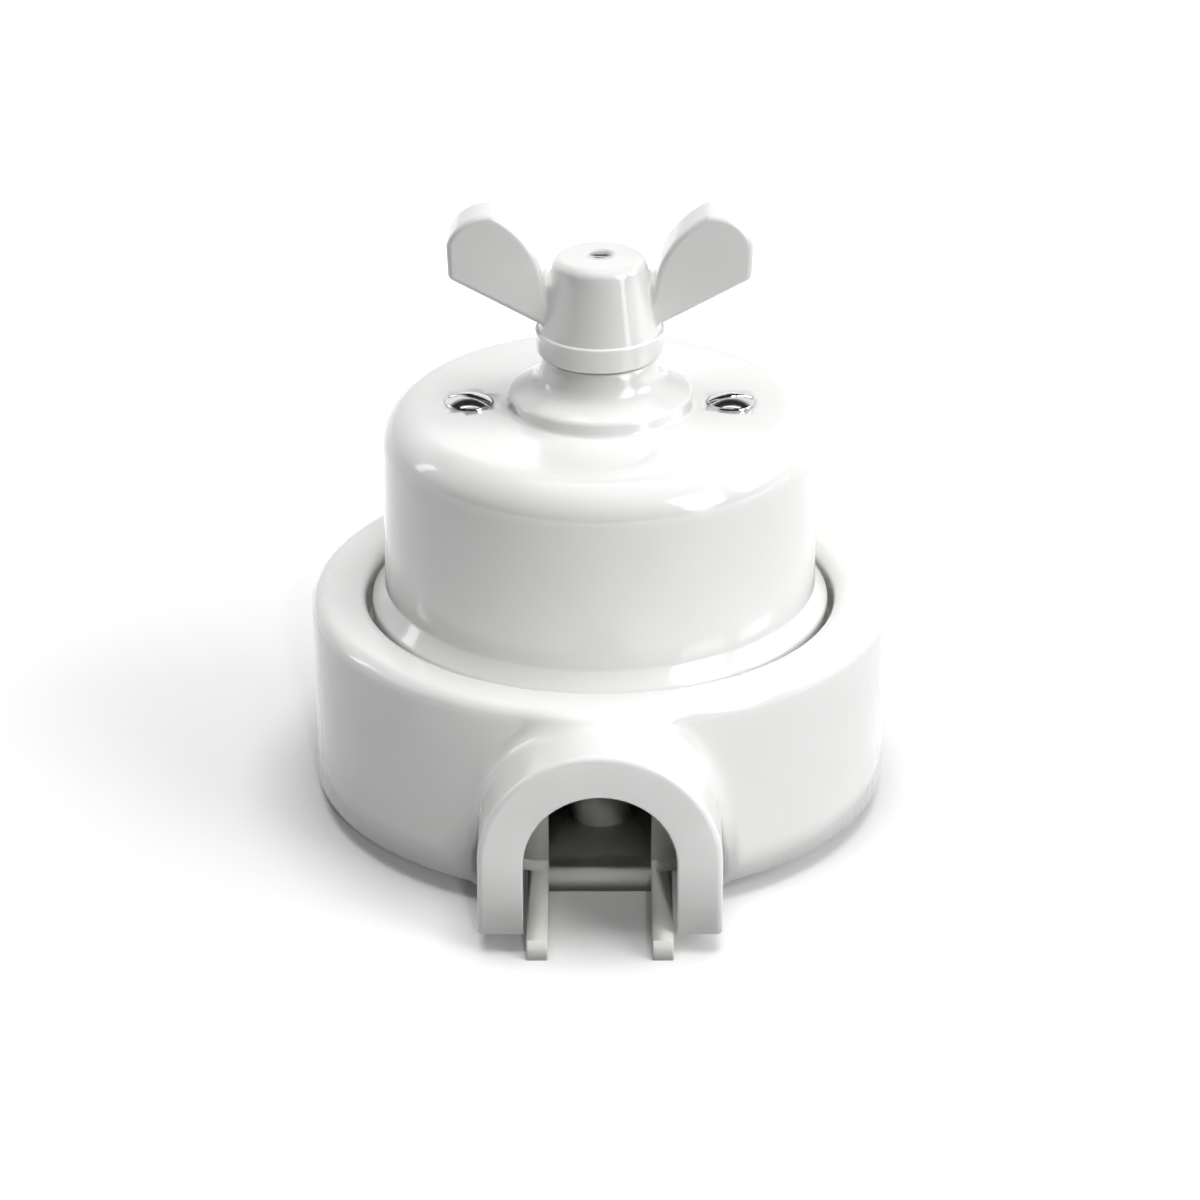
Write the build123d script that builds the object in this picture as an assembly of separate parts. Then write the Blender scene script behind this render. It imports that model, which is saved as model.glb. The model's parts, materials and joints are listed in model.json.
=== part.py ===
from build123d import *
import math
import os

# Surface-mounted rotary light switch: a glazed porcelain cover and butterfly knob over a
# porcelain collar ring with an arched conduit outlet, on a moulded plastic mounting box.
# Millimetres. +Z runs out of the wall along the knob's axis, and z = 0 is the wall face.
# The conduit outlet faces -Y, and the knob's wings lie along X at rest.

# Clearances and small roundings shared by many pieces
running_gap = 0.05
seat_gap = 0.03
touch_gap = 0.05
head_play = 0.1
bore_play = 0.2
screw_play = 0.25
recess_play = 0.4
tap_run_out = 1.0
cut_over = 1.0
edge_break = 0.3

# Collar ring
stand_off = 3.2
collar_height = 29.8
collar_wall = 5.8
collar_draft = 0.35
collar_top_round = 2.4
collar_inner_round = 2.2
collar_play = 0.3

# Arched conduit outlet on the collar ring
outlet_stand = 10.9
outlet_arch_radius = 11.0
outlet_wall = 6.6
outlet_front_round = 1.0
outlet_mouth_round = 0.4
outlet_blend = 4.0

# Mounting box
rim_bearing = 2.3
box_height = 23.4
box_wall_thickness = 2.0
box_floor = 2.4
rim_ledge = 4.6
foot_inset = 5.1
rear_entry_radius = 9.0
wall_screw_inset = 5.5
wall_screw_hole_radius = 2.25
notch_width = 15.1
front_flat_depth = 1.2
fork_prong = 3.0
fork_overhang = 2.0
fork_round = 0.25

# Cover
cover_radius = 32.5
cover_wall = 4.0
cover_height = 36.0
cover_roof = 5.0
cover_shoulder = 6.0
cover_inner_shoulder = 4.0
cover_crown = 0.35
flange_width = 2.05
flange_groove = 0.75
flange_height = 5.05
flange_slope = 2.75
flange_blend = 0.8
flange_rim_round = 1.5
cover_bore_radius = 4.0

# Bell-shaped boss in the middle of the cover
boss_radius = 14.1
boss_flare = 0.9
boss_edge_radius = 13.6
boss_edge_height = 2.5
boss_edge_round = 1.0
neck_root_radius = 9.3
neck_root_height = 4.3
neck_flare = 3.0
neck_radius = 8.4
boss_height = 8.0

# Cover screws and the pillars that they enter
pillar_inset = 9.0
cover_screw_head_radius = 3.65
cover_screw_dome = 1.0
cover_screw_slot = 1.1
cover_screw_slot_depth = 1.3
cover_screw_turns = (-21.0, 13.5)
cover_screw_grip = 12.0
m4_radius = 2.0
pillar_across_flats = 8.0
pillar_foot_thread = 8.0

# Slotted cylinder-head screws inside the switch
cheese_head_radius = 3.5
cheese_head_height = 2.6
screw_slot_width = 0.17
screw_slot_depth = 0.45

# Porcelain switch base
base_clearance = 0.5
base_thickness = 12.0
base_drop = 4.6
base_edge_round = 1.2
base_screw_pitch = 33.0
base_screw_grip = 7.0
box_pillar_radius = 4.5
insert_radius = 2.8
insert_length = 8.0

# Terminals and contact springs, set at 45 degrees to the axes
terminal_count = 4
terminal_first_angle = 45.0
terminal_inset = 3.5
terminal_depth = 8.0
terminal_width = 7.0
terminal_height = 9.0
terminal_round = 0.8
terminal_screw_height = 5.6
terminal_screw_radius = 1.5
terminal_screw_head_radius = 2.6
terminal_screw_head = 1.8
wire_bore_radius = 1.6
wire_bore_depth = 3.0
wire_bore_roof = 1.5
rivet_inset = 1.5
rivet_radius = 1.25
rivet_head_radius = 2.4
rivet_head = 1.2
rivet_bite = 2.5
spring_thickness = 0.5
spring_width = 5.0
spring_foot_inset = 0.5
spring_foot_overhang = 1.9
spring_tip_outer = 10.6
spring_tip_inner = 7.8
spring_tip_lead = 0.6
spring_bend = 0.5

# Spindle and its bearings
spindle_radius = 3.0
spindle_flats = 5.0
spindle_recess = 1.0
bush_wall = 1.5
bush_recess = 0.6
bush_flange = 0.8
bush_flange_width = 2.0
thrust_washer_thickness = 0.5
washer_radius = 5.5
shoulder_radius = 4.0
shoulder_height = 1.7
end_play = 0.2
circlip_thickness = 0.6
circlip_groove_radius = 2.5
circlip_radius = 5.0
circlip_mouth = 3.6

# Rotor, its contact blade and the detent
rotor_hub_radius = 4.9
rotor_hub_height = 3.0
rotor_radius = 10.5
rotor_thickness = 6.0
rotor_flutes = 8
flute_depth = 0.5
blade_thickness = 1.0
blade_ring_width = 1.9
blade_radius = 10.3
blade_arc = 60.0
blade_peg_radius = 0.9
blade_peg_inset = 1.9
cam_thickness = 4.0
cam_across_flats = 10.9
cam_corner_radius = 6.6
cam_hub_radius = 4.6
detent_leaf_thickness = 0.5
detent_leaf_height = 3.0
detent_leaf_overhang = 1.0

# Detent bridge
bridge_thickness = 1.2
bridge_height = 18.0
bridge_leg_width = 12.0
bridge_ear = 1.8
bridge_ear_drop = 1.0
bridge_leg_gap = 0.7
bridge_foot_reach = 20.3
bridge_foot_round = 2.0
bridge_bend = 1.0

# Knob
knob_gap = 0.5
knob_foot_radius = 9.3
knob_band_radius = 9.6
knob_band_height = 3.9
knob_cone_radius = 9.1
knob_crown_radius = 6.75
knob_cone_height = 14.9
knob_dome = 0.55
knob_top_round = 1.6
knob_foot_round = 0.6
knob_step_round = 0.15
knob_skirt_radius = 5.2
knob_skirt_relief = 0.8
knob_insert_radius = 4.2
knob_insert_height = 11.0
knob_insert_roof = 1.0
knob_screw_head_radius = 1.6
knob_screw_head_height = 1.3
knob_screw_recess = 0.35
knob_screw_radius = 1.0
knob_screw_length = 11.0
knob_screw_slot = 0.5
knob_screw_slot_depth = 0.6

# Butterfly wings, heights above the knob's underside
wing_thickness = 7.0
wing_span = 44.8
wing_root_reach = 5.2
wing_root_height = 3.4
wing_corner_height = 12.6
wing_side_height = 17.7
wing_side_lean = 0.2
wing_tip_reach = 15.6
wing_tip_height = 22.35
wing_throat_reach = 8.2
wing_throat_height = 12.4
wing_top_bulge = 1.5
wing_inner_bulge = 1.45
wing_tuck = 2.4
wing_edge_round = 0.9
wing_corner_round = 1.2
wing_root_blend = 0.6

# Heights that follow from the stack
ledge_top = stand_off + box_wall_thickness
rim_top = stand_off + box_height
collar_top = stand_off + collar_height
cover_top = rim_top + cover_height
roof_under = cover_top - cover_roof
neck_top = cover_top + boss_height
knob_bottom = neck_top + knob_gap
knob_crown = knob_bottom + knob_cone_height
knob_top = knob_crown + knob_dome
base_under = rim_top - base_drop
base_top = base_under + base_thickness
pillar_head_top = base_under + cheese_head_height + recess_play
spring_top = base_top + spring_thickness
washer_under = base_top + bush_flange
shoulder_under = washer_under + thrust_washer_thickness
hub_under = shoulder_under + shoulder_height
disc_under = hub_under + rotor_hub_height
blade_under = disc_under - blade_thickness
rotor_top = disc_under + rotor_thickness
cam_top = rotor_top + cam_thickness
leaf_low = rotor_top + (cam_thickness - detent_leaf_height) / 2
leaf_high = leaf_low + detent_leaf_height
bridge_under = base_top + bridge_height
bridge_top = bridge_under + bridge_thickness
circlip_under = bridge_top + circlip_thickness + running_gap
circlip_top = circlip_under + circlip_thickness
skirt_top = knob_bottom + knob_skirt_relief
insert_top = skirt_top + knob_insert_height
socket_roof = insert_top - knob_insert_roof
spindle_top = socket_roof - end_play
head_seat = knob_top - knob_screw_recess - knob_screw_head_height
head_top = head_seat + knob_screw_head_height

# Radii and distances from the axis that follow from what seats in what
flange_radius = cover_radius + flange_width
collar_lip_radius = flange_radius + flange_groove
box_radius = collar_lip_radius + rim_bearing
box_inner_radius = box_radius - box_wall_thickness
foot_radius = box_radius - foot_inset
well_radius = foot_radius - box_wall_thickness
notch_back = box_wall_thickness - well_radius
wall_screw_spacing = 2 * (well_radius - wall_screw_inset)
front_flat = box_radius - front_flat_depth
rebate_radius = box_radius + collar_play
collar_radius = rebate_radius + collar_wall
outlet_reach = collar_radius + outlet_stand
fork_reach = outlet_reach + fork_overhang
cover_inner_radius = cover_radius - cover_wall
cover_screw_pitch = 2 * (cover_inner_radius - pillar_inset)
base_radius = cover_inner_radius - base_clearance
outlet_radius = outlet_arch_radius + outlet_wall
bore_radius = spindle_radius + running_gap
bush_radius = bore_radius + bush_wall
m4_clear_radius = m4_radius + screw_play
m4_thread_radius = m4_radius + running_gap
terminal_back = base_radius - terminal_inset
terminal_reach = terminal_back - terminal_depth
wire_bore_reach = terminal_back - wire_bore_depth
rivet_reach = terminal_reach + rivet_inset
spring_knee = terminal_reach - spring_foot_overhang
blade_peg_reach = blade_radius - blade_peg_inset
bridge_leg_face = rotor_radius + bridge_leg_gap
bridge_leg_outside = bridge_leg_face + bridge_thickness
leaf_face = cam_across_flats / 2 + touch_gap


def rounded_face(corners):
    """A closed face from (x, y, rounding) corners."""
    face = make_face(Polyline([(x, y) for x, y, _ in corners], close=True))
    for x, y, rounding in corners:
        if rounding > 0:
            corner = face.vertices().sort_by_distance(Vector(x, y))[0]
            face = fillet(corner, rounding)
    return face


def turned(corners):
    """A body turned about Z from (radius, height, rounding) corners."""
    return revolve(Plane.XZ * rounded_face(corners), Axis.Z)


def tube(outer, inner, low, high):
    """A plain ring or sleeve about Z."""
    return turned([(inner, low, 0), (outer, low, 0), (outer, high, 0), (inner, high, 0)])


def rod(radius, low, high, x=0.0, y=0.0):
    """A plain cylinder parallel to Z."""
    upright = (Align.CENTER, Align.CENTER, Align.MIN)
    return Pos(x, y, low) * Cylinder(radius, high - low, align=upright)


def slab(x_range, y_range, z_range):
    """A box between its limits along X, Y and Z."""
    size = [high - low for low, high in (x_range, y_range, z_range)]
    middle = [(high + low) / 2 for low, high in (x_range, y_range, z_range)]
    return Pos(*middle) * Box(*size)


def joined(parts):
    """One shape that holds several separate solids."""
    return Compound([solid for part in parts for solid in part.solids()])


def on_the_x_axis(part, pitch):
    """Two copies of a part, half a pitch to each side of the axis."""
    return joined([Pos(side * pitch / 2, 0, 0) * part for side in (-1, 1)])


def on_the_y_axis(part, pitch):
    """Two copies of a part, half a pitch in front of and behind the axis."""
    return joined([Pos(0, side * pitch / 2, 0) * part for side in (-1, 1)])


def half_turned(part):
    """A part turned half way round the knob's axis."""
    return Rot(0, 0, 180) * part


def at_terminal(part, number):
    """A part drawn along +X, turned to one of the terminals."""
    return Rot(0, 0, terminal_first_angle + number * 360 / terminal_count) * part


def at_terminals(part):
    """A part drawn along +X, repeated at every terminal."""
    return joined([at_terminal(part, number) for number in range(terminal_count)])


def flat_shaft(low, high, grow=0.0):
    """The milled part of the spindle: a round bar with four flats."""
    half = spindle_flats / 2 + grow
    bar = slab((-half, half), (-half, half), (low, high))
    return bar & rod(spindle_radius + grow, low, high)


def slotted_screw(head_radius, head_height, radius, head_low, tip):
    """A slotted cylinder-head screw that points down."""
    top = head_low + head_height
    screw = rod(head_radius, head_low, top) + rod(radius, tip, head_low)
    half_slot = head_radius * screw_slot_width
    slot_floor = top - head_height * screw_slot_depth
    return screw - slab((-head_radius, head_radius), (-half_slot, half_slot), (slot_floor, top))


def lies_at(edge, height):
    """True for an edge that lies level at a height."""
    box = edge.bounding_box()
    return abs(box.min.Z - height) < 0.01 and abs(box.max.Z - height) < 0.01


def arch_face(radius, foot):
    """The outlet's outline in X and Z: a half round over two straight legs."""
    spring_line = foot + outlet_arch_radius
    legs = Pos(0, (foot + spring_line) / 2) * Rectangle(2 * radius, spring_line - foot)
    head = Pos(0, spring_line) * Circle(radius)
    top = Pos(0, spring_line + radius / 2) * Rectangle(2 * radius, radius)
    return legs + (head & top)


def arch_prism(radius, front, back, foot):
    """An arch that runs along Y from front to back."""
    return extrude(Plane.XZ.offset(-back) * arch_face(radius, foot), back - front)


def collar_ring():
    body = collar_outside()
    body -= tube(rebate_radius, 0, stand_off - cut_over, rim_top)
    body -= rod(collar_lip_radius, stand_off, collar_top + cut_over)
    tunnel_end = outlet_wall - collar_lip_radius
    body -= arch_prism(outlet_arch_radius, -outlet_reach - cut_over, tunnel_end, stand_off)
    lip = body.edges().filter_by(GeomType.CIRCLE).filter_by(lambda e: lies_at(e, collar_top))
    body = fillet(lip.sort_by(lambda e: e.radius)[0], collar_inner_round)
    mouth = body.edges().filter_by(is_tunnel_mouth)
    return fillet(mouth, outlet_mouth_round)


def collar_outside():
    """The ring and its outlet from outside, as one solid block."""
    over = collar_top + outlet_blend + outlet_radius
    lean = collar_draft / collar_height
    foot = collar_radius - collar_draft
    body = turned([
        (0, stand_off, 0),
        (foot, stand_off, 0),
        (foot + lean * (over - stand_off), over, 0),
        (0, over, 0),
    ])
    body += arch_prism(outlet_radius, -outlet_reach, 0, stand_off)
    body = fillet(body.edges().filter_by(is_outlet_root), outlet_blend)
    around = (-outlet_reach - cut_over, outlet_reach + cut_over)
    body &= slab(around, around, (stand_off, collar_top))
    body = fillet(body.edges().filter_by(lambda e: lies_at(e, collar_top)), collar_top_round)
    front = body.faces().sort_by(Axis.Y)[0]
    front_edges = front.edges().filter_by(lambda e: not lies_at(e, stand_off))
    return fillet(front_edges, outlet_front_round)


def is_outlet_root(edge):
    """True for the edge where the outlet's outside meets the collar's wall."""
    middle = edge @ 0.5
    reach = math.hypot(middle.X, middle.Y)
    on_wall = abs(reach - collar_radius) < 2 * collar_draft
    return on_wall and middle.Y < -collar_radius / 2 and not lies_at(edge, stand_off)


def is_tunnel_mouth(edge):
    """True for the arched edge where the tunnel opens in the outlet's front face."""
    box = edge.bounding_box()
    on_front = abs(box.min.Y + outlet_reach) < 0.01 and abs(box.max.Y + outlet_reach) < 0.01
    inside = max(abs(box.min.X), abs(box.max.X)) < outlet_arch_radius + 0.01
    return on_front and inside and not lies_at(edge, stand_off)


def mounting_box():
    """The moulded box up to the top of its ledge: foot, floor and forked tongue."""
    half = notch_width / 2
    shell = turned([
        (rear_entry_radius, 0, 0),
        (foot_radius, 0, edge_break),
        (foot_radius, stand_off, 0),
        (box_radius, stand_off, edge_break),
        (box_radius, ledge_top, 0),
        (well_radius, ledge_top, 0),
        (well_radius, box_floor, 0),
        (rear_entry_radius, box_floor, 0),
    ])
    shell -= box_front_cuts()
    shell += box_fork()
    shell -= slab((-half, half), (box_wall_thickness - front_flat, notch_back), (box_floor, rim_top))
    wall_screw_hole = rod(wall_screw_hole_radius, -cut_over, box_floor + cut_over)
    return shell - on_the_x_axis(wall_screw_hole, wall_screw_spacing)


def box_wall():
    """The same moulding's wall above the ledge, with the rim that carries ring and cover."""
    rim_inside = box_radius - rim_ledge
    wall = turned([
        (box_inner_radius, ledge_top, 0),
        (box_radius, ledge_top, 0),
        (box_radius, rim_top, edge_break),
        (rim_inside, rim_top, 0),
        (rim_inside, rim_top - box_wall_thickness, 0),
        (box_inner_radius, rim_top - box_wall_thickness, 0),
    ])
    return wall - box_front_cuts()


def box_front_cuts():
    """The flat on the box's front and the cable notch in the middle of it."""
    half = notch_width / 2
    front = -box_radius - cut_over
    flat = slab((-half - fork_prong, half + fork_prong), (front, -front_flat), (stand_off, rim_top))
    return flat + slab((-half, half), (front, notch_back), (stand_off, rim_top + cut_over))


def box_fork():
    """The tongue under the notch, which splits into two prongs that lie along the wall."""
    half = notch_width / 2
    across = (-half - fork_prong, half + fork_prong)
    tongue = slab(across, (-fork_reach, -well_radius), (0, stand_off))
    tongue -= slab((-half, half), (-fork_reach, -front_flat), (0, stand_off))
    return fillet(tongue.edges().filter_by(Axis.Z).sort_by(Axis.Y)[:4], fork_round)


def box_pillars():
    """The same moulding's two pillars, each with a stepped bore for its threaded insert."""
    insert_low = base_under - insert_length
    pillar = rod(box_pillar_radius, box_floor, base_under)
    pillar -= rod(insert_radius + seat_gap, insert_low, base_under)
    pillar -= rod(m4_clear_radius, insert_low - m4_radius, base_under)
    return on_the_y_axis(pillar, base_screw_pitch)


def box_inserts():
    insert = rod(insert_radius, base_under - insert_length, base_under)
    insert -= rod(m4_thread_radius, base_under - insert_length, base_under)
    return on_the_y_axis(insert, base_screw_pitch)


def switch_base():
    body = turned([
        (bush_radius + seat_gap, base_under, 0),
        (base_radius, base_under, base_edge_round),
        (base_radius, base_top, base_edge_round),
        (bush_radius + seat_gap, base_top, 0),
    ])
    body -= on_the_y_axis(rod(m4_clear_radius, base_under, base_top), base_screw_pitch)
    pillar_hole = rod(m4_clear_radius, base_under, base_top)
    pillar_hole += rod(cheese_head_radius + screw_play, base_under, pillar_head_top)
    body -= on_the_x_axis(pillar_hole, cover_screw_pitch)
    recess_top = base_under + 2 * rivet_head
    rivet_hole = rod(rivet_radius + seat_gap, base_under, base_top, rivet_reach)
    rivet_hole += rod(rivet_head_radius + screw_play, base_under, recess_top, rivet_reach)
    wire_hole_reach = wire_bore_reach + recess_play
    wire_hole = rod(wire_bore_radius + recess_play, base_under, base_top, wire_hole_reach)
    return body - at_terminals(rivet_hole) - at_terminals(wire_hole)


def base_screws():
    head_low = base_top + bridge_thickness
    tip = base_under - base_screw_grip
    screw = slotted_screw(cheese_head_radius, cheese_head_height, m4_radius, head_low, tip)
    return on_the_y_axis(screw, base_screw_pitch)


def cover_pillars():
    hexagon = RegularPolygon(pillar_across_flats / 2, 6, major_radius=False)
    pillar = extrude(Pos(0, 0, base_top) * hexagon, roof_under - base_top)
    pillar -= rod(m4_thread_radius, base_top, base_top + pillar_foot_thread)
    pillar -= rod(m4_thread_radius, roof_under - cover_screw_grip - tap_run_out, roof_under)
    return on_the_x_axis(pillar, cover_screw_pitch)


def pillar_screws():
    length = base_top + pillar_foot_thread - tap_run_out - pillar_head_top
    screw = slotted_screw(cheese_head_radius, cheese_head_height, m4_radius, 0, -length)
    return on_the_x_axis(Pos(0, 0, pillar_head_top) * Rot(180, 0, 0) * screw, cover_screw_pitch)


def crown_height(radius):
    """Height of the cover's slightly crowned top at a distance from the axis."""
    return cover_top + cover_crown * (cover_radius - radius) / (cover_radius - boss_radius)


def cover():
    flange_top = rim_top + flange_height
    body = turned([
        (cover_bore_radius, roof_under, 0),
        (cover_inner_radius, roof_under, cover_inner_shoulder),
        (cover_inner_radius, rim_top, edge_break),
        (flange_radius, rim_top, edge_break),
        (flange_radius, flange_top, flange_rim_round),
        (cover_radius, flange_top + flange_slope, flange_blend),
        (cover_radius, cover_top, cover_shoulder),
        (boss_radius, crown_height(boss_radius), boss_flare),
        (boss_edge_radius, cover_top + boss_edge_height, boss_edge_round),
        (neck_root_radius, cover_top + neck_root_height, neck_flare),
        (neck_radius, neck_top, edge_break),
        (cover_bore_radius, neck_top, edge_break),
    ])
    return body - on_the_x_axis(cover_screw_seat(), cover_screw_pitch)


def cover_screw_seat():
    """The countersunk hole that a cover screw sits in."""
    rim = crown_height(cover_screw_pitch / 2)
    head = cover_screw_head_radius + head_play
    low = roof_under - cut_over
    return turned([
        (0, low, 0),
        (m4_clear_radius, low, 0),
        (m4_clear_radius, rim - head + m4_clear_radius, 0),
        (head, rim, 0),
        (head, rim + cut_over, 0),
        (0, rim + cut_over, 0),
    ])


def cover_screws():
    screw = cover_screw()
    left = Pos(-cover_screw_pitch / 2, 0, 0) * Rot(0, 0, cover_screw_turns[0]) * screw
    right = Pos(cover_screw_pitch / 2, 0, 0) * Rot(0, 0, cover_screw_turns[1]) * screw
    return joined([left, right])


def cover_screw():
    """One raised countersunk screw, its head level with the cover's top."""
    rim = crown_height(cover_screw_pitch / 2) + seat_gap
    head = cover_screw_head_radius
    top = rim + cover_screw_dome
    tip = roof_under - cover_screw_grip
    dome_radius = (head ** 2 + cover_screw_dome ** 2) / (2 * cover_screw_dome)
    flank = (head / 2, top - dome_radius + math.sqrt(dome_radius ** 2 - (head / 2) ** 2))
    outline = Polyline([
        (head, rim),
        (m4_radius, rim - head + m4_radius),
        (m4_radius, tip),
        (0, tip),
        (0, top),
    ])
    outline += ThreePointArc((head, rim), flank, (0, top))
    screw = revolve(Plane.XZ * make_face(outline), Axis.Z)
    half_slot = cover_screw_slot / 2
    return screw - slab((-head, head), (-half_slot, half_slot), (top - cover_screw_slot_depth, top))


def terminal_block():
    """One brass clamp block, drawn along +X, on its contact spring's foot."""
    half = terminal_width / 2
    top = spring_top + terminal_height
    block = slab((terminal_reach, terminal_back), (-half, half), (spring_top, top))
    block = fillet(block.edges().filter_by(Axis.Z), terminal_round)
    block -= rod(wire_bore_radius, spring_top, top - wire_bore_roof, wire_bore_reach)
    block -= rod(rivet_radius + seat_gap, spring_top, spring_top + rivet_bite, rivet_reach)
    thread = rod(terminal_screw_radius + running_gap, wire_bore_reach - terminal_back, 0)
    return block - terminal_screw_place() * thread


def terminal_screw_place():
    """Where a clamp screw's head bears on its block, with the screw pointing inwards."""
    return Pos(terminal_back, 0, spring_top + terminal_screw_height) * Rot(0, 90, 0)


def terminal_screws():
    shank = terminal_back - wire_bore_reach - recess_play
    screw = slotted_screw(
        terminal_screw_head_radius, terminal_screw_head, terminal_screw_radius, 0, -shank)
    return at_terminals(terminal_screw_place() * screw)


def terminal_rivets():
    head_low = base_under + rivet_head
    rivet = rod(rivet_head_radius, head_low, head_low + rivet_head, rivet_reach)
    rivet += rod(rivet_radius, head_low, spring_top + rivet_bite, rivet_reach)
    return at_terminals(rivet)


def contact_spring():
    """One bent bronze strip, drawn along +X, from under its terminal to the rotor blade."""
    high = blade_under - touch_gap
    low = high - spring_thickness
    tip = spring_tip_inner - spring_tip_lead
    slope = math.atan2(high - spring_top, spring_knee - spring_tip_outer)
    lean = spring_thickness * math.tan(slope / 2)
    outline = [
        (terminal_back - spring_foot_inset, base_top, 0),
        (terminal_back - spring_foot_inset, spring_top, 0),
        (spring_knee, spring_top, spring_bend),
        (spring_tip_outer, high, spring_bend),
        (spring_tip_inner, high, edge_break),
        (tip, high - spring_tip_lead, 0),
        (tip, low - spring_tip_lead, 0),
        (spring_tip_inner, low, 0),
        (spring_tip_outer - lean, low, 0),
        (spring_knee - lean, base_top, 0),
    ]
    strip = extrude(Plane.XZ * rounded_face(outline), spring_width / 2, both=True)
    strip -= rod(wire_bore_radius + bore_play, base_top, spring_top, wire_bore_reach)
    return strip - rod(rivet_radius + seat_gap, base_top, spring_top, rivet_reach)


def base_bush():
    flange = bush_radius + bush_flange_width
    return turned([
        (bore_radius, base_under + bush_recess, 0),
        (bush_radius, base_under + bush_recess, 0),
        (bush_radius, base_top, 0),
        (flange, base_top, 0),
        (flange, washer_under, edge_break),
        (bore_radius, washer_under, 0),
    ])


def thrust_washer():
    return tube(washer_radius, bore_radius, washer_under, shoulder_under)


def bridge_washer():
    return tube(washer_radius, bore_radius, bridge_top, bridge_top + circlip_thickness - end_play)


def detent_bridge():
    half = bridge_leg_width / 2
    ear = half + bridge_ear
    across = (-bridge_leg_outside, bridge_leg_outside)
    plate = slab((-ear, ear), across, (bridge_under, bridge_top))
    plate = fillet(plate.edges().filter_by(Axis.X).sort_by(Axis.Z)[-2:], bridge_bend)
    leg = slab((-half, half), across, (base_top, bridge_under))
    leg += slab((-ear, ear), across, (rotor_top - bridge_ear_drop, bridge_under))
    leg -= slab((-ear, ear), (-bridge_leg_face, bridge_leg_face), (base_top, bridge_under))
    foot = bridge_foot(half)
    bridge = plate + leg + foot + half_turned(foot)
    bridge -= rod(bore_radius, bridge_under, bridge_top)
    slot = leaf_slot()
    return bridge - slot - half_turned(slot)


def bridge_foot(half):
    """The bridge's foot on the +Y side, which a base screw clamps."""
    top = base_top + bridge_thickness
    foot = slab((-half, half), (bridge_leg_face, bridge_foot_reach), (base_top, top))
    outer_corners = foot.edges().filter_by(Axis.Z).sort_by(Axis.Y)[-2:]
    foot = fillet(outer_corners, bridge_foot_round)
    return foot - rod(m4_clear_radius, base_top, top, 0, base_screw_pitch / 2)


def leaf_slot():
    """The slot in the bridge's legs that the +X detent leaf passes through."""
    thick = (leaf_face - seat_gap, leaf_face + detent_leaf_thickness + seat_gap)
    across = (-bridge_leg_outside - cut_over, bridge_leg_outside + cut_over)
    return slab(thick, across, (leaf_low - seat_gap, leaf_high + seat_gap))


def detent_springs():
    reach = bridge_leg_outside + detent_leaf_overhang
    thick = (leaf_face, leaf_face + detent_leaf_thickness)
    leaf = slab(thick, (-reach, reach), (leaf_low, leaf_high))
    return joined([leaf, half_turned(leaf)])


def spindle():
    foot = base_under + spindle_recess
    shaft = turned([
        (0, foot, 0),
        (spindle_radius, foot, edge_break),
        (spindle_radius, shoulder_under, 0),
        (shoulder_radius, shoulder_under, 0),
        (shoulder_radius, hub_under, 0),
        (0, hub_under, 0),
    ])
    shaft += flat_shaft(hub_under, cam_top)
    shaft += rod(spindle_radius, cam_top, skirt_top)
    shaft += flat_shaft(skirt_top, spindle_top)
    groove = (circlip_under - running_gap, circlip_top + running_gap)
    shaft -= tube(spindle_radius + cut_over, circlip_groove_radius, *groove)
    thread_low = head_seat - knob_screw_length - tap_run_out
    return shaft - rod(knob_screw_radius + running_gap, thread_low, spindle_top)


def circlip():
    ring = tube(circlip_radius, circlip_groove_radius + seat_gap, circlip_under, circlip_top)
    half = circlip_mouth / 2
    return ring - slab((0, circlip_radius), (-half, half), (circlip_under, circlip_top))


def rotor():
    body = turned([
        (0, hub_under, 0),
        (rotor_hub_radius, hub_under, edge_break),
        (rotor_hub_radius, disc_under, 0),
        (rotor_radius, disc_under, edge_break),
        (rotor_radius, rotor_top, edge_break),
        (0, rotor_top, 0),
    ])
    body -= flat_shaft(hub_under, rotor_top, seat_gap)
    flute = rod(2 * flute_depth, disc_under, rotor_top, rotor_radius + flute_depth)
    for number in range(rotor_flutes):
        body -= Rot(0, 0, (number + 0.5) * 360 / rotor_flutes) * flute
    peg = rod(blade_peg_radius, blade_under, disc_under, blade_peg_reach)
    for angle in blade_angles():
        body += Rot(0, 0, angle) * peg
    return body


def blade_angles():
    """The two opposite directions that the rotor's contact blade reaches in."""
    return [terminal_first_angle, terminal_first_angle + 180]


def contact_blade():
    inner = rotor_hub_radius + seat_gap
    blade = tube(inner + blade_ring_width, inner, blade_under, disc_under)
    section = Pos((inner + blade_radius) / 2, (blade_under + disc_under) / 2)
    section *= Rectangle(blade_radius - inner, blade_thickness)
    arm = revolve(Plane.XZ * section, Axis.Z, blade_arc)
    peg_hole = rod(blade_peg_radius + seat_gap, blade_under, disc_under, blade_peg_reach)
    for angle in blade_angles():
        blade += Rot(0, 0, angle - blade_arc / 2) * arm
        blade -= Rot(0, 0, angle) * peg_hole
    return blade


def detent_cam():
    half = cam_across_flats / 2
    cam = slab((-half, half), (-half, half), (rotor_top, cam_top))
    cam &= rod(cam_corner_radius, rotor_top, cam_top)
    cam += rod(cam_hub_radius, cam_top, bridge_under - end_play)
    cam -= flat_shaft(rotor_top, cam_top, seat_gap)
    return cam - rod(bore_radius, cam_top, bridge_under)


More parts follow.
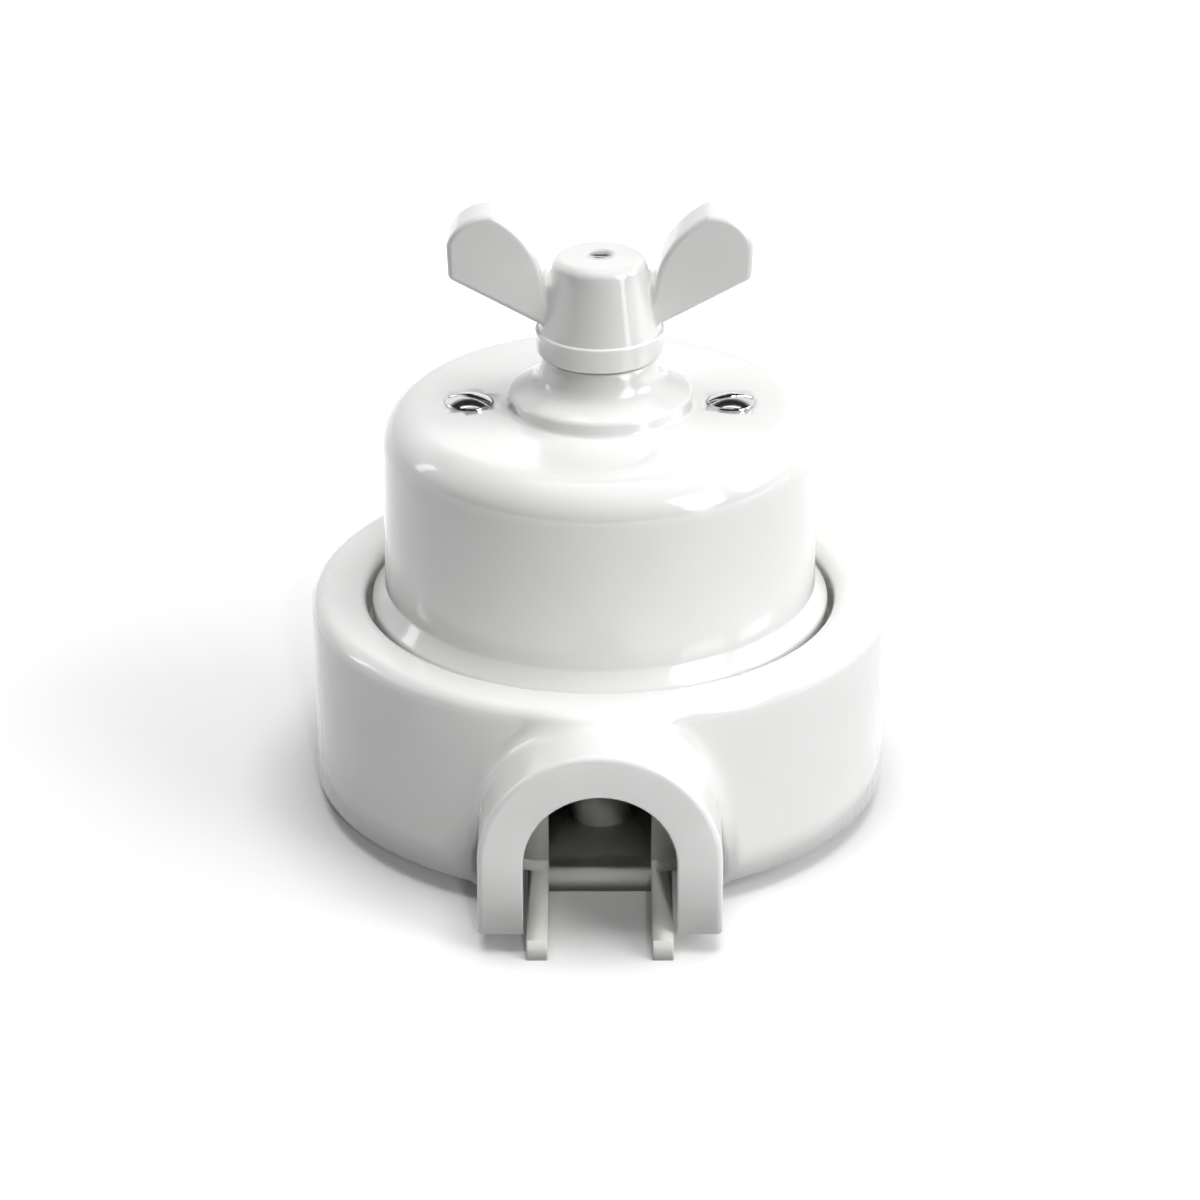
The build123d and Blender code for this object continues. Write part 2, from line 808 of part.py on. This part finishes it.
def knob():
    body = Rot(0, 0, 90) * turned([
        (0, knob_bottom, 0),
        (knob_foot_radius, knob_bottom, knob_foot_round),
        (knob_band_radius, knob_bottom + knob_band_height, edge_break),
        (knob_cone_radius, knob_bottom + knob_band_height, knob_step_round),
        (knob_crown_radius, knob_crown, knob_top_round),
        (0, knob_top, 0),
    ])
    body += wing() + mirror(wing(), Plane.YZ)
    body = fillet(body.edges().filter_by(is_wing_root), wing_root_blend)
    body -= rod(knob_skirt_radius, knob_bottom, skirt_top)
    body -= rod(knob_insert_radius + seat_gap, knob_bottom, insert_top)
    body -= rod(knob_screw_radius + bore_play, insert_top, head_seat)
    return body - rod(knob_screw_head_radius + head_play, head_seat, knob_top)


def wing():
    """The wing on the +X side, with all its outer edges rounded."""
    points = {
        "root": (wing_root_reach, wing_root_height),
        "corner": (wing_span / 2 - wing_side_lean, wing_corner_height),
        "side": (wing_span / 2, wing_side_height),
        "tip": (wing_tip_reach, wing_tip_height),
        "throat": (wing_throat_reach, wing_throat_height),
    }
    at = {name: Vector(x, knob_bottom + height) for name, (x, height) in points.items()}
    inner_edge = bowed(at["tip"], at["throat"], wing_inner_bulge)
    heading = inner_edge % 1
    tuck = at["throat"] + heading * wing_tuck
    inside = Vector(wing_root_reach, tuck.Y - wing_tuck)
    outline = Polyline([inside, at["root"], at["corner"], at["side"]])
    outline += bowed(at["side"], at["tip"], wing_top_bulge)
    outline += inner_edge + Line(at["throat"], tuck)
    outline += TangentArc(tuck, inside, tangent=heading)
    face = make_face(outline)
    face = fillet(face.vertices().sort_by_distance(at["corner"])[0], wing_corner_round)
    blade = extrude(Plane.XZ * face, wing_thickness / 2, both=True)
    return fillet(blade.edges().filter_by(is_wing_rim), wing_edge_round)


def bowed(start, end, bulge):
    """An arc between two points that stands out to the right of the straight line."""
    return SagittaArc(start, end, -bulge)


def is_wing_rim(edge):
    """True for an edge on one of a wing's two broad sides."""
    return abs(abs((edge @ 0.5).Y) - wing_thickness / 2) < 0.01


def is_wing_root(edge):
    """True for a curved edge where a wing meets the knob's cone."""
    middle = edge @ 0.5
    narrowing = (knob_cone_radius - knob_crown_radius) / (knob_cone_height - knob_band_height)
    cone = knob_cone_radius - (middle.Z - knob_bottom - knob_band_height) * narrowing
    on_cone = abs(math.hypot(middle.X, middle.Y) - cone) < 0.3
    beside_wing = abs(middle.Y) < wing_thickness / 2 + 0.01
    return edge.geom_type != GeomType.LINE and on_cone and beside_wing


def knob_insert():
    insert = rod(knob_insert_radius, skirt_top, insert_top)
    insert -= flat_shaft(skirt_top, socket_roof, seat_gap)
    return insert - rod(knob_screw_radius + bore_play, socket_roof, insert_top)


def knob_screw():
    screw = rod(knob_screw_head_radius, head_seat, head_top)
    screw += rod(knob_screw_radius, head_seat - knob_screw_length, head_seat)
    across = (-knob_screw_head_radius, knob_screw_head_radius)
    half_slot = knob_screw_slot / 2
    return screw - slab(across, (-half_slot, half_slot), (head_top - knob_screw_slot_depth, head_top))


def pieces():
    """Every separate piece of the switch, by name."""
    parts = {
        "mounting_box": mounting_box(),
        "box_wall": box_wall(),
        "box_pillars": box_pillars(),
        "box_inserts": box_inserts(),
        "collar_ring": collar_ring(),
        "switch_base": switch_base(),
        "base_screws": base_screws(),
        "base_bush": base_bush(),
        "cover_pillars": cover_pillars(),
        "pillar_screws": pillar_screws(),
        "cover": cover(),
        "cover_screws": cover_screws(),
        "terminal_screws": terminal_screws(),
        "terminal_rivets": terminal_rivets(),
        "thrust_washer": thrust_washer(),
        "detent_bridge": detent_bridge(),
        "detent_springs": detent_springs(),
        "bridge_washer": bridge_washer(),
        "spindle": spindle(),
        "circlip": circlip(),
        "rotor": rotor(),
        "contact_blade": contact_blade(),
        "detent_cam": detent_cam(),
        "knob": knob(),
        "knob_insert": knob_insert(),
        "knob_screw": knob_screw(),
    }
    for number in range(terminal_count):
        parts[f"terminal_{number + 1}"] = at_terminal(terminal_block(), number)
        parts[f"contact_spring_{number + 1}"] = at_terminal(contact_spring(), number)
    return parts


os.makedirs("parts", exist_ok=True)
for name, part in pieces().items():
    export_step(part, f"parts/{name}.step")
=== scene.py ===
import json
import math

import bpy
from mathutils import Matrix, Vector


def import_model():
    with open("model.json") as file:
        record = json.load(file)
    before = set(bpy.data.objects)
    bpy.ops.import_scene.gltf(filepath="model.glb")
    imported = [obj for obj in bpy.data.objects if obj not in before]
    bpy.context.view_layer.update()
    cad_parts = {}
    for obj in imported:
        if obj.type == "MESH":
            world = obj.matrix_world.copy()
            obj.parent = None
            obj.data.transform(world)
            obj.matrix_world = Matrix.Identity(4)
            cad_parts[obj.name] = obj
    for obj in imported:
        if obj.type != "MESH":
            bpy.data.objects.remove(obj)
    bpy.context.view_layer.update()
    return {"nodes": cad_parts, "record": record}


# The camera that was fitted to the photograph: place in metres, tilt in degrees, lens and sensor
# in millimetres, and the nearest distance in metres that it shows
CAMERA_PLACE = (0.0, -0.6164, 0.3276)
CAMERA_TILT = 64.238
CAMERA_LENS = 135.2
CAMERA_SENSOR = 36.0
CAMERA_NEAR = 0.01

# Area lamps: direction from the object, distance, width and height in metres, power in watts
LAMPS = {
    "overhead": ((0.0, 0.0, 1.0), 1.3, (1.0, 1.0), 14.2),
    "upper_right": ((0.45, 0.1, 0.88), 1.3, (0.8, 0.8), 2.2),
    "window": ((0.72, -0.5, 0.46), 1.3, (0.5, 0.85), 6.1),
    "right": ((0.93, 0.0, 0.37), 1.3, (0.5, 0.5), 4.0),
    "right_low": ((0.8, -0.59, 0.1), 1.3, (0.22, 0.25), 0.5),
    "front_low": ((0.1, -0.95, 0.3), 1.3, (0.6, 0.6), 0.8),
    "left_strip": ((-0.88, 0.3, 0.35), 1.3, (0.14, 0.5), 0.6),
}
LAMPS_AIM = Vector((0.0, 0.0, 0.05))
# Lamps that light the surfaces but show in no reflection
UNMIRRORED_LAMPS = ("overhead", "upper_right", "front_low")

# The spot lamp on the arch: its aim, distance and radius in metres, its cone in degrees and its
# power in watts
ARCH_AIM = Vector((0.0, -0.046, 0.009))
ARCH_DIRECTION = (0.13, -0.873, 0.469)
ARCH_DISTANCE = 1.3
ARCH_RADIUS = 0.06
ARCH_CONE = 4.1
ARCH_POWER = 42.0

# The room's light on surfaces, at the horizon and overhead
ROOM_LOW = 0.0
ROOM_HIGH = 0.05
# The room in reflections: its front, back and ceiling, and where in a unit direction's Y the
# front turns into the back and in its Z the walls turn into the ceiling
MIRRORED_FRONT = 0.05
MIRRORED_BACK = 0.95
MIRRORED_CEILING = 0.03
BACK_SPAN = (-0.5, 0.4)
CEILING_SPAN = (0.5, 0.75)
# A panel overhead that only reflections see: its edges as X over Z and as Y over Z, how wide
# the edges are blurred, and its level
PANEL_ACROSS = (-0.3, 0.35)
PANEL_ALONG = (0.29, 0.43)
PANEL_BLUR = 0.02
PANEL_LEVEL = 1.6

# The floor: half its width in metres, its grey, and the darker grey with which it lights the
# object from below
FLOOR_HALF = 4.0
FLOOR_GREY = 0.92
FLOOR_BOUNCE_GREY = 0.3
# The floor's glow: its levels at the object and beside it, the distances from the knob's axis
# between which it rises from one to the other, and those between which it rises on to white
FLOOR_GLOW = (0.03, 0.38)
FLOOR_GLOW_SPAN = (0.042, 0.18)
FLOOR_WHITE_SPAN = (0.3, 1.4)

# The two colours between which each finish changes
TONES = {
    "white_glaze": ((0.835, 0.835, 0.822), (0.865, 0.866, 0.858)),
    "bare_porcelain": ((0.78, 0.765, 0.72), (0.84, 0.83, 0.8)),
    "box_plastic": ((0.8, 0.792, 0.745), (0.83, 0.824, 0.785)),
    "rotor_moulding": ((0.055, 0.03, 0.02), (0.085, 0.05, 0.032)),
    "steel": ((0.52, 0.52, 0.53), (0.66, 0.66, 0.67)),
    "brass": ((0.72, 0.53, 0.25), (0.83, 0.65, 0.35)),
    "bronze": ((0.66, 0.42, 0.24), (0.78, 0.54, 0.33)),
    "bright_plating": ((0.74, 0.74, 0.735), (0.86, 0.86, 0.855)),
}
# Metals: mean roughness, size of the grain in metres, and how much finer it is in X, Y and Z
METALS = {
    "steel": (0.32, 0.0012, (1, 1, 6)),
    "brass": (0.28, 0.0012, (1, 1, 6)),
    "bronze": (0.24, 0.001, (6, 6, 1)),
    "bright_plating": (0.09, 0.0007, (1, 1, 3)),
}
METAL_RELIEF = 0.000004
# The least and most roughness of a metal, as shares of its mean
POLISH = (0.75, 1.3)

# The part of a noise texture's range that a finish uses
NOISE_SPAN = (0.3, 0.7)
# A colour Mix node's two colour inputs and its colour output, which share their names with others
MIX_COLOURS = (6, 7)
MIX_RESULT = 2

# Points of a CAD mesh that lie nearer than this, in metres, are shown as one
WELD_GAP = 0.000002


class Finish:
    """A Principled material, with helpers that add texture nodes in front of it."""

    def __init__(self, name, constants):
        self.tones = TONES[name]
        self.material = bpy.data.materials.new(name)
        self.material.use_nodes = True
        self.tree = self.material.node_tree
        self.tree.nodes.clear()
        self.shader = self.node("ShaderNodeBsdfPrincipled")
        out = self.node("ShaderNodeOutputMaterial")
        self.link(self.shader.outputs["BSDF"], out.inputs["Surface"])
        self.place = self.node("ShaderNodeTexCoord").outputs["Object"]
        self.normal = None
        for socket, value in constants.items():
            self.shader.inputs[socket].default_value = value

    def node(self, kind):
        return self.tree.nodes.new(kind)

    def link(self, start, end):
        self.tree.links.new(start, end)

    def noise(self, size, detail, roughness=0.5, stretch=(1, 1, 1)):
        """Noise with features about this many metres across."""
        texture = self.node("ShaderNodeTexNoise")
        texture.inputs["Scale"].default_value = 1.0 / size
        texture.inputs["Detail"].default_value = detail
        texture.inputs["Roughness"].default_value = roughness
        mapping = self.node("ShaderNodeMapping")
        mapping.inputs["Scale"].default_value = stretch
        self.link(self.place, mapping.inputs["Vector"])
        self.link(mapping.outputs["Vector"], texture.inputs["Vector"])
        return texture.outputs["Fac"]

    def between(self, noise, low, high):
        """A number that runs from low to high as the noise crosses its span."""
        ranged = self.node("ShaderNodeMapRange")
        ranged.inputs["From Min"].default_value = NOISE_SPAN[0]
        ranged.inputs["From Max"].default_value = NOISE_SPAN[1]
        ranged.inputs["To Min"].default_value = low
        ranged.inputs["To Max"].default_value = high
        self.link(noise, ranged.inputs["Value"])
        return ranged.outputs["Result"]

    def colour(self, noise):
        """A colour that changes between the finish's two tones."""
        mix = self.node("ShaderNodeMix")
        mix.data_type = "RGBA"
        self.link(self.between(noise, 0.0, 1.0), mix.inputs["Factor"])
        for socket, tone in zip(MIX_COLOURS, self.tones):
            mix.inputs[socket].default_value = (*tone, 1.0)
        self.link(mix.outputs[MIX_RESULT], self.shader.inputs["Base Color"])

    def roughness(self, noise, low, high):
        self.link(self.between(noise, low, high), self.shader.inputs["Roughness"])

    def bump(self, height, depth):
        """Relief of about this many metres, laid over the relief that is already there."""
        relief = self.node("ShaderNodeBump")
        relief.inputs["Strength"].default_value = 1.0
        relief.inputs["Distance"].default_value = depth
        self.link(height, relief.inputs["Height"])
        if self.normal is not None:
            self.link(self.normal, relief.inputs["Normal"])
        self.normal = relief.outputs["Normal"]
        self.link(self.normal, self.shader.inputs["Normal"])
        if self.shader.inputs["Coat Weight"].default_value > 0:
            self.link(self.normal, self.shader.inputs["Coat Normal"])


def glaze():
    """Thick glossy white glaze: long soft ripples and a faint change of tone."""
    finish = Finish("white_glaze", {
        "Roughness": 0.16, "IOR": 1.5, "Coat Weight": 1.0, "Coat Roughness": 0.03,
    })
    finish.colour(finish.noise(size=0.018, detail=3.0))
    finish.bump(finish.noise(size=0.016, detail=1.0), depth=0.00016)
    finish.bump(finish.noise(size=0.0024, detail=2.0), depth=0.000006)
    return finish.material


def bare_porcelain():
    """Unglazed fired clay: matt, off-white and finely pitted."""
    finish = Finish("bare_porcelain", {"Roughness": 0.62, "IOR": 1.48})
    finish.colour(finish.noise(size=0.006, detail=4.0, roughness=0.6))
    finish.bump(finish.noise(size=0.0004, detail=4.0, roughness=0.6), depth=0.00003)
    return finish.material


def box_plastic():
    """Moulded thermoset: warm white, half gloss, with a fine spark-eroded grain."""
    finish = Finish("box_plastic", {"IOR": 1.5})
    finish.colour(finish.noise(size=0.009, detail=3.0))
    finish.roughness(finish.noise(size=0.0012, detail=3.0), low=0.3, high=0.42)
    finish.bump(finish.noise(size=0.0003, detail=3.0, roughness=0.6), depth=0.00001)
    return finish.material


def rotor_moulding():
    """Dark brown thermoset with an uneven satin gloss."""
    finish = Finish("rotor_moulding", {"IOR": 1.5})
    finish.colour(finish.noise(size=0.003, detail=4.0))
    finish.roughness(finish.noise(size=0.001, detail=3.0), low=0.35, high=0.5)
    return finish.material


def metal(name):
    """Bare or plated metal with a drawn or turned grain and slightly uneven polish."""
    mean, grain, stretch = METALS[name]
    finish = Finish(name, {"Metallic": 1.0})
    lines = finish.noise(size=grain, detail=3.0, roughness=0.6, stretch=stretch)
    finish.colour(lines)
    smear = finish.noise(size=0.004, detail=3.0)
    finish.roughness(smear, low=mean * POLISH[0], high=mean * POLISH[1])
    finish.bump(lines, depth=METAL_RELIEF)
    return finish.material


def make_finishes():
    finishes = {
        "white_glaze": glaze(),
        "bare_porcelain": bare_porcelain(),
        "box_plastic": box_plastic(),
        "rotor_moulding": rotor_moulding(),
    }
    for name in METALS:
        finishes[name] = metal(name)
    return finishes


def dress(frame):
    """Gives every CAD node the finish of its material slot, smooth shading and a weld."""
    finishes = make_finishes()
    slots = {row["node"]: row["material_slot"] for row in frame["record"]["subparts"]}
    for name, node in frame["nodes"].items():
        node.data.materials.clear()
        node.data.materials.append(finishes[slots[name]])
        node.data.shade_smooth()
        weld = node.modifiers.new("weld", "WELD")
        weld.merge_threshold = WELD_GAP


def ranged(tree, value, span, result):
    """A number that eases between two results as a value crosses its span."""
    eased = tree.nodes.new("ShaderNodeMapRange")
    eased.interpolation_type = "SMOOTHSTEP"
    eased.inputs["From Min"].default_value, eased.inputs["From Max"].default_value = span
    eased.inputs["To Min"].default_value, eased.inputs["To Max"].default_value = result
    tree.links.new(value, eased.inputs["Value"])
    return eased.outputs["Result"]


def ratio(tree, first, second):
    """The first number divided by the second."""
    divided = tree.nodes.new("ShaderNodeMath")
    divided.operation = "DIVIDE"
    tree.links.new(first, divided.inputs[0])
    tree.links.new(second, divided.inputs[1])
    return divided.outputs["Value"]


def switched(tree, switch, off, on):
    """One number while a switch is 0 and another while it is 1, each a socket or a float."""
    mix = tree.nodes.new("ShaderNodeMix")
    tree.links.new(switch, mix.inputs["Factor"])
    for socket, value in ((mix.inputs["A"], off), (mix.inputs["B"], on)):
        if isinstance(value, float):
            socket.default_value = value
        else:
            tree.links.new(value, socket)
    return mix.outputs["Result"]


def inside(tree, value, span):
    """A number that is 1 while a value lies in a span, with eased edges."""
    start, end = span
    entered = ranged(tree, value, (start, start + PANEL_BLUR), (0.0, 1.0))
    passed = ranged(tree, value, (end - PANEL_BLUR, end), (0.0, 1.0))
    return switched(tree, passed, entered, 0.0)


def floor_glow(tree, path):
    """The floor's glow, which only rays that see the floor sharply pick up."""
    place = tree.nodes.new("ShaderNodeTexCoord")
    away = tree.nodes.new("ShaderNodeVectorMath")
    away.operation = "LENGTH"
    tree.links.new(place.outputs["Object"], away.inputs[0])
    beside = ranged(tree, away.outputs["Value"], FLOOR_GLOW_SPAN, FLOOR_GLOW)
    far = ranged(tree, away.outputs["Value"], FLOOR_WHITE_SPAN, (0.0, 1.0))
    whiter = switched(tree, far, beside, 1.0)
    level = 0.0
    for ray in ("Is Camera Ray", "Is Glossy Ray", "Is Transmission Ray"):
        level = switched(tree, path.outputs[ray], level, whiter)
    return level


def stage_floor():
    """A floor that is white far away, keeps the object's shadow and sends little light back up."""
    bpy.ops.mesh.primitive_plane_add(size=2 * FLOOR_HALF, location=(0, 0, 0))
    floor = bpy.context.object
    floor.name = "floor"
    paper = bpy.data.materials.new("floor_paper")
    paper.use_nodes = True
    tree = paper.node_tree
    tree.nodes.clear()
    path = tree.nodes.new("ShaderNodeLightPath")
    paint = tree.nodes.new("ShaderNodeMix")
    paint.data_type = "RGBA"
    for socket, grey in zip(MIX_COLOURS, (FLOOR_GREY, FLOOR_BOUNCE_GREY)):
        paint.inputs[socket].default_value = (grey, grey, grey, 1)
    tree.links.new(path.outputs["Is Diffuse Ray"], paint.inputs["Factor"])
    diffuse = tree.nodes.new("ShaderNodeBsdfDiffuse")
    tree.links.new(paint.outputs[MIX_RESULT], diffuse.inputs["Color"])
    glow = tree.nodes.new("ShaderNodeEmission")
    tree.links.new(floor_glow(tree, path), glow.inputs["Strength"])
    both = tree.nodes.new("ShaderNodeAddShader")
    tree.links.new(diffuse.outputs["BSDF"], both.inputs[0])
    tree.links.new(glow.outputs["Emission"], both.inputs[1])
    out = tree.nodes.new("ShaderNodeOutputMaterial")
    tree.links.new(both.outputs["Shader"], out.inputs["Surface"])
    floor.data.materials.append(paper)


def mirrored_room(tree, heading):
    """The room in reflections: white behind, dark in front and overhead, and a bright panel."""
    across, along, up = (heading.outputs[axis] for axis in "XYZ")
    walls = ranged(tree, along, BACK_SPAN, (MIRRORED_FRONT, MIRRORED_BACK))
    rising = ranged(tree, up, CEILING_SPAN, (0.0, 1.0))
    room = switched(tree, rising, walls, MIRRORED_CEILING)
    in_width = inside(tree, ratio(tree, across, up), PANEL_ACROSS)
    in_depth = inside(tree, ratio(tree, along, up), PANEL_ALONG)
    return switched(tree, switched(tree, in_width, 0.0, in_depth), room, PANEL_LEVEL)


def light_world():
    """A room that is white to the camera, nearly dark to surfaces and uneven in reflections."""
    world = bpy.data.worlds.new("studio")
    bpy.context.scene.world = world
    world.use_nodes = True
    tree = world.node_tree
    tree.nodes.clear()
    path = tree.nodes.new("ShaderNodeLightPath")
    place = tree.nodes.new("ShaderNodeTexCoord")
    heading = tree.nodes.new("ShaderNodeSeparateXYZ")
    tree.links.new(place.outputs["Generated"], heading.inputs["Vector"])
    lit = ranged(tree, heading.outputs["Z"], (0.0, 1.0), (ROOM_LOW, ROOM_HIGH))
    level = switched(tree, path.outputs["Is Glossy Ray"], lit, mirrored_room(tree, heading))
    for ray in ("Is Camera Ray", "Is Transmission Ray"):
        level = switched(tree, path.outputs[ray], level, 1.0)
    background = tree.nodes.new("ShaderNodeBackground")
    background.inputs["Color"].default_value = (1, 1, 1, 1)
    out = tree.nodes.new("ShaderNodeOutputWorld")
    tree.links.new(level, background.inputs["Strength"])
    tree.links.new(background.outputs["Background"], out.inputs["Surface"])


def add_to_scene(name, data):
    thing = bpy.data.objects.new(name, data)
    bpy.context.scene.collection.objects.link(thing)
    return thing


def point(lamp, aim, direction, distance):
    """Places a lamp in a direction from the point that it is aimed at."""
    away = Vector(direction).normalized()
    lamp.location = aim + away * distance
    lamp.rotation_euler = away.to_track_quat("Z", "Y").to_euler()


def hang_lamps():
    for name, (direction, distance, size, power) in LAMPS.items():
        data = bpy.data.lights.new(name, "AREA")
        data.shape = "RECTANGLE"
        data.size, data.size_y = size
        data.energy = power
        lamp = add_to_scene(name, data)
        lamp.visible_glossy = name not in UNMIRRORED_LAMPS
        point(lamp, LAMPS_AIM, direction, distance)


def hang_spot():
    """A narrow soft spot lamp that reaches in under the arch."""
    data = bpy.data.lights.new("arch_spot", "SPOT")
    data.spot_size = math.radians(ARCH_CONE)
    data.spot_blend = 1.0
    data.shadow_soft_size = ARCH_RADIUS
    data.energy = ARCH_POWER
    lamp = add_to_scene("arch_spot", data)
    lamp.visible_glossy = False
    point(lamp, ARCH_AIM, ARCH_DIRECTION, ARCH_DISTANCE)


def set_camera():
    data = bpy.data.cameras.new("camera")
    data.lens = CAMERA_LENS
    data.sensor_width = CAMERA_SENSOR
    data.clip_start = CAMERA_NEAR
    camera = add_to_scene("camera", data)
    camera.location = CAMERA_PLACE
    camera.rotation_euler = (math.radians(CAMERA_TILT), 0, 0)
    bpy.context.scene.camera = camera


def main():
    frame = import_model()
    bpy.context.scene.view_settings.view_transform = "Standard"
    dress(frame)
    stage_floor()
    light_world()
    hang_lamps()
    hang_spot()
    set_camera()


main()
